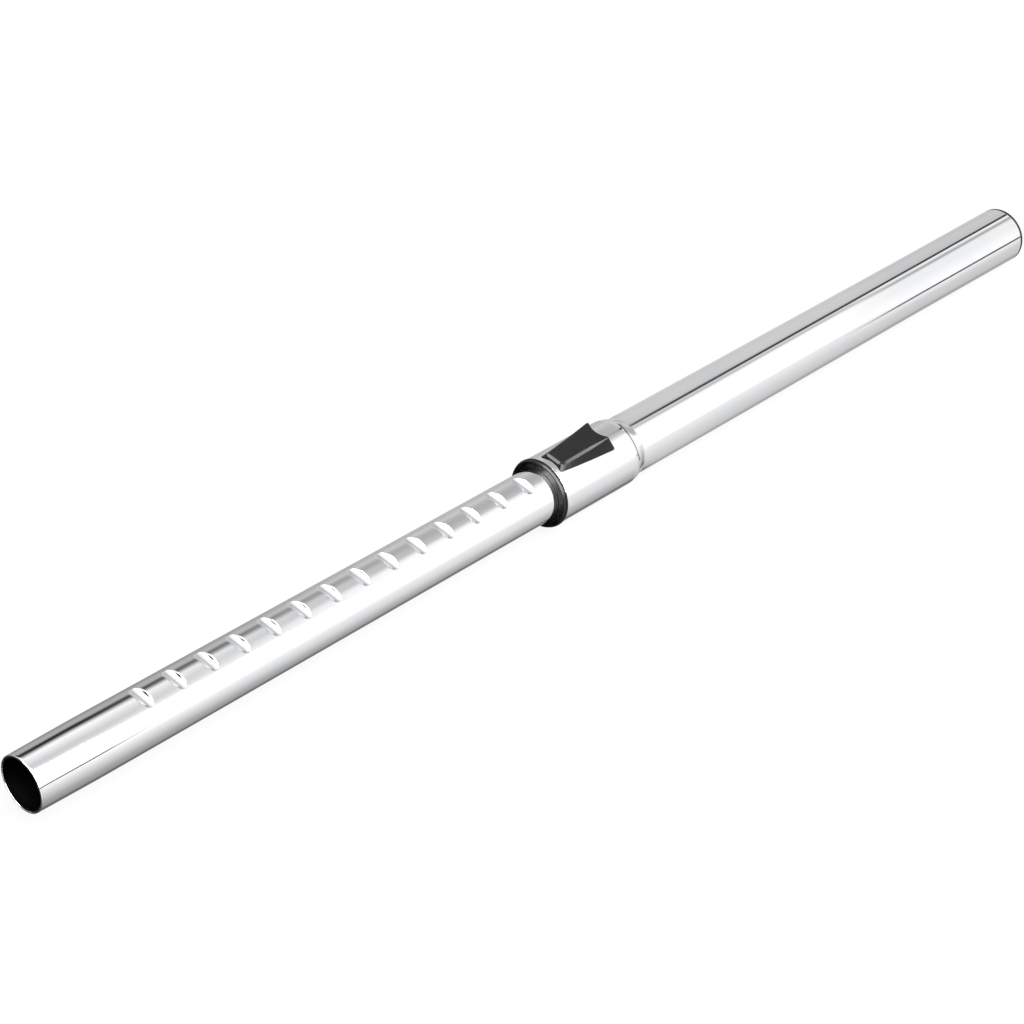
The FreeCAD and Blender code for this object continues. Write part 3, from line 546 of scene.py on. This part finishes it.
def sliding_tube():
    """The tube's closed outline turned about the axis, notched outside and inside alike. Its
    columns are finest from FINE_FROM to FINE_TO of the angle at which a notch ends."""
    half_steps = np.array([0.2, 0.4, 0.55, 0.66, 0.75, 0.82, 0.88, 0.93, 0.97,
                           1.01, 1.05, 1.1, 1.2, 1.45])
    steps = np.concatenate([-half_steps[::-1], [0.0], half_steps])
    beside = np.array([TUBE_REAR, TUBE_REAR + 0.5, 420.0, 440.0, 455.0, 465.0, 837.0, 846.0,
                       854.0, 858.0, 861.0, 864.0, 867.0, 870.0, 874.0, 880.0, 884.5, 887.5,
                       890.5, 894.0, 898.0, 901.5])
    middle = NOTCHES[:-1] + NOTCH_PITCH / 2
    spread = np.concatenate([middle - 3.0, middle, middle + 3.0])
    notch_end = math.acos((BAR_HEIGHT - BAR_RADIUS) / TUBE_RADIUS)
    ends = np.linspace(FINE_FROM, FINE_TO, 17) * notch_end
    across = np.linspace(-FINE_FROM, FINE_FROM, 37)[1:-1] * notch_end
    fine = np.concatenate([-ends[::-1], across, ends])
    wide = np.linspace(ends[-1], 2 * np.pi - ends[-1], 67)[1:-1]
    angle = np.concatenate([fine, wide])
    x_out = notch_rows(angle, beside, spread, steps, 0.0)
    x_in = notch_rows(angle, beside, middle, steps[::3], SHEET)[::-1]
    rim = outline([
        (TIP - LIP_BACK, TIP_RADIUS + 0.01, 0),
        (TIP, TIP_RADIUS, 0.55),
        (TIP, TIP_RADIUS - LIP_THICKNESS, 0.3),
        (TIP - 0.8, TIP_RADIUS - LIP_THICKNESS, 0.2),
        (TIP - LIP_BACK, TIP_RADIUS - SHEET, 0),
    ], bend_points=5)
    lip = rim[(rim[:, 0] > TIP - LIP_BACK + 0.01) & (rim[:, 1] < TIP_RADIUS + 0.005)]
    lip_along = np.broadcast_to(lip[:, :1], (len(lip), len(angle)))
    lip_radius = np.broadcast_to(lip[:, 1:], (len(lip), len(angle)))
    along = np.concatenate([x_out, lip_along, x_in])
    radius = np.concatenate([notched_radius(x_out, angle, 0.0), lip_radius,
                             notched_radius(x_in, angle, SHEET)])
    grid = np.stack([along, radius * np.sin(angle), radius * np.cos(angle)], -1)
    tube = skin("sliding_tube_skin", grid, chrome, "slider", ["inner_tube"])
    mark_bore(tube.data, np.arange(len(along)) >= len(along) - len(x_in), len(angle))


sliding_tube()

# %% [markdown]
# The socket liner, the collar and the wiper ring are turned outlines with rounded edges.
# The liner ends the grip tube in a thin black lip. The collar has a short flange in front of
# the housing, and the rubber ring sits on it, with a sloping edge that catches the light.

# %% Socket liner, collar and wiper ring
LINER_DEPTH = 119.0
LINER_RADIUS = 18.95
SOCKET_RADIUS = 17.6
COLLAR_REAR = 494.4
SLEEVE_RADIUS = 21.45
FLANGE_FRONT = 504.8
FLANGE_RADIUS = 22.7
RING_FRONT = 506.6
RING_RADIUS = 22.5
SLIDE_RADIUS = 17.65

liner_outline = outline([
    (0.0, SOCKET_RADIUS, 0.4),
    (0.0, FLARE_RADIUS, 0.6),
    (LIP_LENGTH, FLARE_RADIUS, 0.2),
    (LIP_LENGTH, LINER_RADIUS, 0.1),
    (LINER_DEPTH, LINER_RADIUS, 0.3),
    (LINER_DEPTH, SOCKET_RADIUS, 0.2),
])
skin("socket_liner_skin", turned(liner_outline), black_abs, "grip", ["socket_liner"])
collar_outline = outline([
    (COLLAR_REAR, SLIDE_RADIUS, 0.2),
    (COLLAR_REAR, SLEEVE_RADIUS, 0.2),
    (MOUTH, SLEEVE_RADIUS, 0.1),
    (MOUTH, FLANGE_RADIUS, 0.3),
    (FLANGE_FRONT, FLANGE_RADIUS, 0.3),
    (FLANGE_FRONT, SLIDE_RADIUS, 0.2),
])
skin("collar_skin", turned(collar_outline), black_abs, "grip", ["collar"])
wiper_outline = outline([
    (FLANGE_FRONT, SLIDE_RADIUS, 0.1),
    (FLANGE_FRONT, RING_RADIUS - 0.3, 0.1),
    (FLANGE_FRONT + 0.3, RING_RADIUS, 0.2),
    (RING_FRONT - 0.15, RING_RADIUS - 0.6, 0.15),
    (RING_FRONT, RING_RADIUS - 1.0, 0.15),
    (RING_FRONT, SLIDE_RADIUS, 0.3),
], bend_points=11)
skin("wiper_ring_skin", turned(wiper_outline), black_rubber, "grip", ["wiper_ring"])

# %% [markdown]
# The release button is a hollow wedge: low and narrow toward the nozzle, high and wide
# toward the handle, where a scoop takes the thumb. A bevel runs round its nose and its long
# sides, and shows as a bright line. The skin runs from the middle of the top to the bevel,
# over it, down the wall to the housing, and back up inside.

# %% Release button
NOSE_FOOT = (502.3, 10.5)
TAIL_FOOT = (451.05, 12.6)
NOSE_TOP = (497.25, 6.4)
TAIL_TOP = (457.8, 9.1)
NOSE_HEIGHT = 23.91
TAIL_HEIGHT = 28.5
TOP_SLOPE = (TAIL_HEIGHT - NOSE_HEIGHT) / (NOSE_TOP[0] - TAIL_TOP[0])
FOOT_HEIGHT = 18.0
BUTTON_BEVEL = 1.1
CORNER_GAP = 1.8
BUTTON_WALL = 1.2
SCOOP_RADIUS = 14.0
SCOOP_DEPTH = 2.4
SCOOP_FADE = 3.0
SEAT_RADIUS = HOUSING_RADIUS + 0.15
BEVEL_AT_TAIL = 0.35
BEVEL_GROWS_OVER = 12.0
BEVEL_AT_CORNERS = 0.15
SUPPORT_GAP = 0.2
NOSE_FOOT_INSET = 1.5
TAIL_FOOT_INSET = 1.2
SIDE_FOOT_INSET = 1.3


def button_ring(nose, tail, corner_round, side_points=24, end_points=33):
    """A ring round the button at one level: four straight sides, of which the tail side is
    pushed in by the scoop's circle. The corners are rounded by a quadratic curve."""
    spots = np.array([(nose[0], -nose[1]), nose, tail, (tail[0], -tail[1])])
    counts = (end_points, side_points, end_points, side_points)
    t = np.linspace(0, 1, 9)[:, None]
    ring = []
    for k in range(4):
        here, after, before = spots[k], spots[(k + 1) % 4], spots[k - 1]
        forward = (after - here) / np.linalg.norm(after - here)
        back = (before - here) / np.linalg.norm(before - here)
        enter = here + back * corner_round
        leave = here + forward * corner_round
        ring.append((1 - t) ** 2 * enter + 2 * t * (1 - t) * here + t ** 2 * leave)
        s = np.linspace(0, 1, counts[k] + 2)[1:-1, None]
        ring.append(leave + s * (after - forward * corner_round - leave))
    ring = np.concatenate(ring)
    scoop = np.sqrt(np.maximum(SCOOP_RADIUS ** 2 - ring[:, 1] ** 2, 0)) - (SCOOP_RADIUS - SCOOP_DEPTH)
    at_tail = np.clip(1 - (ring[:, 0] - tail[0]) / SCOOP_FADE, 0, 1)
    ring[:, 0] += np.maximum(scoop, 0) * at_tail
    return ring


def on_top(points, drop):
    """Points of the plan lifted onto the button's sloping top."""
    height = NOSE_HEIGHT - drop + TOP_SLOPE * (NOSE_TOP[0] - points[:, 0])
    return np.column_stack([points, height])


def button_shell(inset, drop, bevel, top_round, foot_round):
    """Rows from the top's middle, over the bevel, to the foot on the housing. The inward side
    of each point is its ring's tangent turned a quarter."""
    top = button_ring((NOSE_TOP[0] - inset, NOSE_TOP[1] - inset),
                      (TAIL_TOP[0] + inset, TAIL_TOP[1] - inset), top_round)
    foot_aside = inset * SIDE_FOOT_INSET
    foot = button_ring((NOSE_FOOT[0] - inset * NOSE_FOOT_INSET, NOSE_FOOT[1] - foot_aside),
                       (TAIL_FOOT[0] + inset * TAIL_FOOT_INSET, TAIL_FOOT[1] - foot_aside), foot_round)
    tangent = np.roll(top, -1, axis=0) - np.roll(top, 1, axis=0)
    tangent /= np.linalg.norm(tangent, axis=1)[:, None]
    inward = np.column_stack([-tangent[:, 1], tangent[:, 0]])
    from_tail = np.clip((top[:, 0] - TAIL_TOP[0] - SCOOP_DEPTH) / BEVEL_GROWS_OVER, 0, 1)[:, None]
    nose_corners = np.array([(NOSE_TOP[0], -NOSE_TOP[1]), NOSE_TOP])
    to_corner = np.linalg.norm(top[:, None] - nose_corners, axis=2).min(axis=1)[:, None]
    width = bevel * (BEVEL_AT_TAIL + (1 - BEVEL_AT_TAIL) * from_tail)
    width = width * np.clip(to_corner / CORNER_GAP, BEVEL_AT_CORNERS, 1.0)
    edge = on_top(top, drop)
    rim = on_top(top + inward * width, drop)
    support = on_top(top + inward * (width + SUPPORT_GAP), drop)
    fall = np.column_stack([foot, np.full(len(foot), FOOT_HEIGHT)]) - edge
    down = fall / np.linalg.norm(fall, axis=1)[:, None]
    end = edge + down * width
    a = fall[:, 1] ** 2 + fall[:, 2] ** 2
    b = edge[:, 1] * fall[:, 1] + edge[:, 2] * fall[:, 2]
    c = edge[:, 1] ** 2 + edge[:, 2] ** 2 - SEAT_RADIUS ** 2
    share = (-b - np.sqrt(np.maximum(b ** 2 - a * c, 0))) / a
    seat = edge + fall * share[:, None]
    middle = on_top(np.array([[(NOSE_TOP[0] + TAIL_TOP[0]) / 2, 0.0]]), drop)
    rows = [middle + (support - middle) * s for s in (0.0, 0.3, 0.6, 0.85, 1.0)]
    rows += [rim + (end - rim) * s for s in (0.0, 0.12, 0.5, 0.88, 1.0)]
    rows += [end + (seat - end) * s for s in (0.06, 0.3, 0.6, 0.94, 1.0)]
    return np.stack(rows)


button_outside = button_shell(inset=0.0, drop=0.0, bevel=BUTTON_BEVEL, top_round=1.0, foot_round=3.2)
button_inside = button_shell(inset=BUTTON_WALL, drop=BUTTON_WALL, bevel=0.2, top_round=0.3, foot_round=1.0)
button_grid = np.concatenate([button_outside, button_inside[::-1]])
skin("release_button_skin", button_grid, black_abs, "button", ["release_button"],
     close_rows=False, poles=True)

# %% [markdown]
# Two springs between the guide's end wall and the carriage push the button back. Each is one
# wire wound into a coil. The carriage shortens them as the button slides; here each is wound
# as a piece of its own.

# %% Return springs
SPRING_REAR = 453.0
SPRING_FRONT = 464.6
SPRING_END_GAP = 0.05
SPRING_DIAMETER = 3.1
SPRING_WIRE = 0.45
SPRING_TURNS = 3
SPRING_SIDE = 6.15
SPRING_HEIGHT = 18.5
STEPS_PER_TURN = 48
WIRE_SIDES = 12


def return_spring(side, sign):
    """A round wire along a helix about X. Across the wire, its ring is spanned by the
    direction away from the coil's axis and by the cross product of that with the tangent."""
    wire = SPRING_WIRE / 2
    start = SPRING_REAR + SPRING_END_GAP + wire
    rise = SPRING_FRONT - SPRING_END_GAP - wire - start
    mean = SPRING_DIAMETER / 2 - wire
    share = np.linspace(0.0, 1.0, STEPS_PER_TURN * SPRING_TURNS + 1)
    turned_by = 2 * np.pi * SPRING_TURNS * share
    away = np.stack([0 * share, -np.sin(turned_by), np.cos(turned_by)], -1)
    round_step = np.stack([0 * share, -np.cos(turned_by), -np.sin(turned_by)], -1)
    tangent = round_step * mean * 2 * np.pi * SPRING_TURNS + np.array([rise, 0.0, 0.0])
    tangent /= np.linalg.norm(tangent, axis=1)[:, None]
    across = np.cross(away, tangent)
    centre = np.array([start, sign * SPRING_SIDE, SPRING_HEIGHT]) + away * mean
    centre[:, 0] += rise * share
    angle = np.linspace(0.0, 2 * np.pi, WIRE_SIDES, endpoint=False)[None, :, None]
    ring = centre[:, None] + wire * (np.cos(angle) * away[:, None] + np.sin(angle) * across[:, None])
    ends = [np.repeat(centre[k][None, None], ring.shape[1], axis=1) for k in (0, -1)]
    node = f"return_spring_{side}"
    coil = skin(f"{node}_coil", np.concatenate([ends[0], ring, ends[1]]), spring_wire, "grip",
                [node], close_rows=False, poles=True)
    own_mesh(coil)


return_spring("left", 1)
return_spring("right", -1)

# %% [markdown]
# The wand lies on a pale floor, on the edge of its collar and the lip of its socket, so the
# floor is tilted by 0.3 degrees against the wand's axis. The background is white to the
# camera, and the floor keeps a soft shadow where the wand touches it.

# %% Floor
floor_rise = -FLANGE_RADIUS * MM
floor_tilt = (FLANGE_RADIUS - FLARE_RADIUS) / MOUTH
HALF_FLOOR = 4.0
FLOOR_GLOW = 1.05
SHADOW_SHARE = 0.18
floor_corners = []
for along_sign, aside_sign in ((-1, -1), (1, -1), (1, 1), (-1, 1)):
    along = along_sign * HALF_FLOOR
    height = floor_rise - floor_tilt * (along - MOUTH * MM)
    floor_corners.append((along, aside_sign * HALF_FLOOR, height))
floor_mesh = bpy.data.meshes.new("studio_floor")
floor_mesh.from_pydata(floor_corners, [], [(0, 1, 2, 3)])
floor = bpy.data.objects.new("studio_floor", floor_mesh)
bpy.context.scene.collection.objects.link(floor)
floor_paper, tree, shader = new_material("white_paper_floor")
shader.inputs["Base Color"].default_value = linear("#F4F4F4")
shader.inputs["Roughness"].default_value = 0.9
path = add(tree, "ShaderNodeLightPath")
glow = add(tree, "ShaderNodeEmission", values={"Color": (1, 1, 1, 1), "Strength": FLOOR_GLOW})
seen = add(tree, "ShaderNodeMath", {0: path.outputs["Is Camera Ray"]}, {1: 1 - SHADOW_SHARE},
           operation="MULTIPLY")
paper = add(tree, "ShaderNodeMixShader",
            {0: seen.outputs[0], 1: shader.outputs["BSDF"], 2: glow.outputs["Emission"]})
tree.links.new(paper.outputs["Shader"], tree.nodes["Material Output"].inputs["Surface"])
floor_mesh.materials.append(floor_paper)
floor.visible_glossy = False
print(floor.name, "falls", round(math.degrees(floor_tilt), 2), "degrees toward the nozzle")

# %% [markdown]
# Chrome has no colour of its own to show: what it looks like is the studio around it. The
# photographer's tent is white in front, grey behind and below, with a dark slit over the
# wand that draws the sharp line along each tube. The world paints that tent by direction:
# the angle round the wand's axis picks a grey of the panel, and the lean along the axis fades
# one panel into the next. Only mirror rays see all this; the camera sees plain white, and
# matt surfaces see a light grey.

# %% World
world = bpy.data.worlds.new("studio_tent")
bpy.context.scene.world = world
world.use_nodes = True
tree = world.node_tree
tree.nodes.clear()
direction = add(tree, "ShaderNodeTexCoord").outputs["Generated"]
parts = add(tree, "ShaderNodeSeparateXYZ", {"Vector": direction})
lean = parts.outputs["X"]
around = add(tree, "ShaderNodeMath", {0: parts.outputs["Y"], 1: parts.outputs["Z"]}, operation="ARCTAN2")
degrees = add(tree, "ShaderNodeMath", {0: around.outputs[0]}, {1: 180 / math.pi}, operation="MULTIPLY")


def tent_panel(lean_slope, lean_zero, stops):
    """Greys by angle round the wand's axis (0 is up, 90 toward the camera side), where the
    angle is sheared by the direction's lean along the axis."""
    offset = add(tree, "ShaderNodeMath", {0: lean}, {1: -lean_zero}, operation="ADD")
    shear = add(tree, "ShaderNodeMath", {0: offset.outputs[0], 2: degrees.outputs[0]}, {1: lean_slope},
                operation="MULTIPLY_ADD")
    share = add(tree, "ShaderNodeMath", {0: shear.outputs[0]}, {1: 1 / 360, 2: 0.5}, operation="MULTIPLY_ADD")
    ramp = add(tree, "ShaderNodeValToRGB", {"Fac": share.outputs[0]})
    ramp_stops(ramp, [((angle + 180) / 360, linear("#" + 3 * f"{grey:02X}")) for angle, grey in stops])
    return ramp.outputs["Color"]


def lean_step(start, end):
    """A smooth step from 0 to 1 between two leans along the axis."""
    step = add(tree, "ShaderNodeMapRange", {"Value": lean}, {"From Min": start, "From Max": end},
               interpolation_type="SMOOTHSTEP")
    return step.outputs["Result"]


def blend(share, first, second):
    """Two colours mixed by a share. All three are sockets."""
    mixed = add(tree, "ShaderNodeMix", {6: first, 7: second}, data_type="RGBA")
    tree.links.new(share, mixed.inputs[0])
    return mixed.outputs[2]


tip_panel = tent_panel(95, -0.446, [
    (-180, 95), (-150, 150), (-118, 138), (-95, 170), (-78, 165), (-70, 60), (-63, 25),
    (-57, 90), (-48, 205), (-40, 252), (-30, 240), (-10, 214), (0, 202), (10, 214), (24, 255),
    (83, 255), (86, 245), (110, 210), (140, 165), (165, 145), (176, 100)])
near_collar_panel = tent_panel(0, -0.62, [
    (-180, 100), (-150, 190), (-120, 184), (-98, 182), (-72, 200), (-58, 184), (-40, 172),
    (-24, 176), (-8, 190), (4, 240), (12, 255), (86, 255), (96, 232), (120, 216), (145, 180),
    (165, 160), (176, 105)])
grip_panel = tent_panel(-71, -0.6626, [
    (-180, 155), (-150, 200), (-130, 215), (-95, 198), (-60, 203), (-32, 200), (-25, 180),
    (-21, 45), (-16, 45), (-13, 205), (-8, 205), (-4, 178), (1, 235), (6, 255), (82, 255),
    (85.5, 235), (98, 228), (120, 214), (150, 200), (168, 190), (176, 160)])
far_grip_panel = tent_panel(-71, -0.6626, [
    (-180, 155), (-150, 200), (-130, 215), (-95, 192), (-60, 200), (-32, 194), (-25, 188),
    (-22, 35), (-16, 35), (-13, 240), (-6, 232), (-1, 170), (3, 160), (7, 205), (12, 236),
    (40, 238), (70, 250), (91, 252), (92.5, 30), (97.5, 30), (99, 240), (112, 222), (120, 208),
    (150, 198), (168, 190), (176, 160)])
nozzle_panel = tent_panel(0, 0, [
    (-180, 90), (-110, 120), (-70, 235), (-40, 252), (110, 252), (140, 150), (165, 100)])
collar_half = blend(lean_step(-0.62, -0.46), near_collar_panel, tip_panel)
nozzle_half = blend(lean_step(-0.36, -0.1), collar_half, nozzle_panel)
whole_grip = blend(lean_step(-0.735, -0.752), grip_panel, far_grip_panel)
grip_half = blend(lean_step(-0.8, -0.78), near_collar_panel, whole_grip)
tent = blend(lean_step(-0.667, -0.67), nozzle_half, grip_half)
print("the tent has", len(tree.nodes), "nodes")

# %% [markdown]
# The tent has dark places too. The end wall behind the handle has a dark band, which the
# shoulder mirrors as a dark arc. A narrow slit low in front draws the short line on the tip,
# and beyond the nozzle end the room is dark. Each is a share by direction that mixes the
# tent toward a dark grey.

# %% Dark places of the tent
ROOM_SLOPE = -0.25
end_wall = add(tree, "ShaderNodeMapRange", {"Value": lean}, {"From Min": -0.9, "From Max": -0.78})
end_grey = add(tree, "ShaderNodeValToRGB", {"Fac": end_wall.outputs["Result"]})
ramp_stops(end_grey, [(0.0, 0.0), (0.25, 0.0), (0.4, 0.88), (0.62, 0.88), (0.8, 0.0)])


def window(value, start, end, soft):
    """A share that is 1 between start and end, and fades to 0 over a soft width outside."""
    rise = add(tree, "ShaderNodeMapRange", {"Value": value}, {"From Min": start - soft, "From Max": start})
    fall = add(tree, "ShaderNodeMapRange", {"Value": value}, {"From Min": end + soft, "From Max": end})
    both = add(tree, "ShaderNodeMath", {0: rise.outputs["Result"], 1: fall.outputs["Result"]},
               operation="MULTIPLY")
    return both.outputs[0]


def darken(colour, shares, grey):
    """A colour mixed toward a grey by the product of the shares."""
    product = shares[0]
    for share in shares[1:]:
        product = add(tree, "ShaderNodeMath", {0: product, 1: share}, operation="MULTIPLY").outputs[0]
    mixed = add(tree, "ShaderNodeMix", {0: product, 6: colour}, {7: linear(grey)}, data_type="RGBA")
    return mixed.outputs[2]


angle_round = degrees.outputs[0]
past_nozzle = add(tree, "ShaderNodeMath", {0: parts.outputs["Z"], 2: lean}, {1: ROOM_SLOPE},
                  operation="MULTIPLY_ADD")
end_walled = darken(tent, [end_grey.outputs["Color"], window(angle_round, -60, 120, 8)], "#202020")
with_slit = darken(end_walled, [window(angle_round, 78.5, 81, 1), lean_step(-0.495, -0.47)], "#282828")
with_room = darken(with_slit, [window(past_nozzle.outputs[0], 0.57, 2.0, 0.09),
                               window(parts.outputs["Y"], -1.0, -0.1, 0.3)], "#242424")
print("with its dark places the tent has", len(tree.nodes), "nodes")

# %% [markdown]
# A soft box above the wand is ten times as bright as the tent's white, and draws the light
# lines on the black edges. It is a skewed rectangle with soft edges: a direction is cast
# onto the plane of the box, and compared with the box's middle and half size there.

# %% Soft box above the wand
BOX_FACING = (0.0, 0.42, 0.9075)
BOX_ACROSS = (0.0, 0.9075, -0.42)
BOX_LIGHT = 10.0
BOX_EDGE = 0.03
BOX_SKEW = 0.4
LEAST_FACING = 0.1
ahead = add(tree, "ShaderNodeVectorMath", {0: direction}, {1: BOX_FACING}, operation="DOT_PRODUCT")
aside = add(tree, "ShaderNodeVectorMath", {0: direction}, {1: BOX_ACROSS}, operation="DOT_PRODUCT")
facing = add(tree, "ShaderNodeMath", {0: ahead.outputs["Value"]}, {1: LEAST_FACING},
             operation="GREATER_THAN")
in_box = facing.outputs[0]
across = add(tree, "ShaderNodeMath", {0: aside.outputs["Value"], 1: ahead.outputs["Value"]},
             operation="DIVIDE")
length = add(tree, "ShaderNodeMath", {0: lean, 1: ahead.outputs["Value"]}, operation="DIVIDE")
skewed = add(tree, "ShaderNodeMath", {0: across.outputs[0], 2: length.outputs[0]}, {1: BOX_SKEW},
             operation="MULTIPLY_ADD")
for spot, middle, half in ((skewed, 0.095, 0.625), (across, -0.45, 1.45)):
    offset = add(tree, "ShaderNodeMath", {0: spot.outputs[0]}, {1: middle}, operation="SUBTRACT")
    distance = add(tree, "ShaderNodeMath", {0: offset.outputs[0]}, operation="ABSOLUTE")
    within = add(tree, "ShaderNodeMapRange", {"Value": distance.outputs[0]},
                 {"From Min": half + BOX_EDGE, "From Max": half - BOX_EDGE}, interpolation_type="SMOOTHSTEP")
    both = add(tree, "ShaderNodeMath", {0: in_box, 1: within.outputs["Result"]}, operation="MULTIPLY")
    in_box = both.outputs[0]
lit_tent = add(tree, "ShaderNodeMix", {0: in_box, 6: with_room}, {7: (BOX_LIGHT,) * 3 + (1.0,)},
               data_type="RGBA")

path = add(tree, "ShaderNodeLightPath")
PLAIN_LEVEL = 0.8
TENT_GAIN = 1.04
plain = add(tree, "ShaderNodeMapRange", {"Value": path.outputs["Is Camera Ray"]},
            {"To Min": PLAIN_LEVEL / TENT_GAIN, "To Max": 1 / TENT_GAIN})
studio = blend(path.outputs["Is Glossy Ray"], plain.outputs["Result"], lit_tent.outputs[2])
background = add(tree, "ShaderNodeBackground", {"Color": studio}, {"Strength": TENT_GAIN})
add(tree, "ShaderNodeOutputWorld", {"Surface": background.outputs["Background"]})
print("with the soft box the world has", len(tree.nodes), "nodes")

# %% [markdown]
# One large soft lamp above the wand, toward the camera's side, gives it its soft shadow on
# the floor. It is left out of the mirror images, because the tent already stands for it.

# %% Lamp
LAMP_SIZE = 1.6
LAMP_WATTS = 18.0
LAMP_PLACE = Vector((0.5, 1.2, 2.2))
LAMP_AIM = Vector((0.45, 0.0, 0.0))
soft_box = bpy.data.lights.new("soft_box", "AREA")
soft_box.shape = "SQUARE"
soft_box.size = LAMP_SIZE
soft_box.energy = LAMP_WATTS
lamp = bpy.data.objects.new("soft_box", soft_box)
lamp.location = LAMP_PLACE
lamp.rotation_mode = "QUATERNION"
lamp.rotation_quaternion = (LAMP_AIM - LAMP_PLACE).to_track_quat("-Z", "Y")
lamp.visible_glossy = False
bpy.context.scene.collection.objects.link(lamp)
print(lamp.name, "gives", LAMP_WATTS, "W over", LAMP_SIZE, "m")
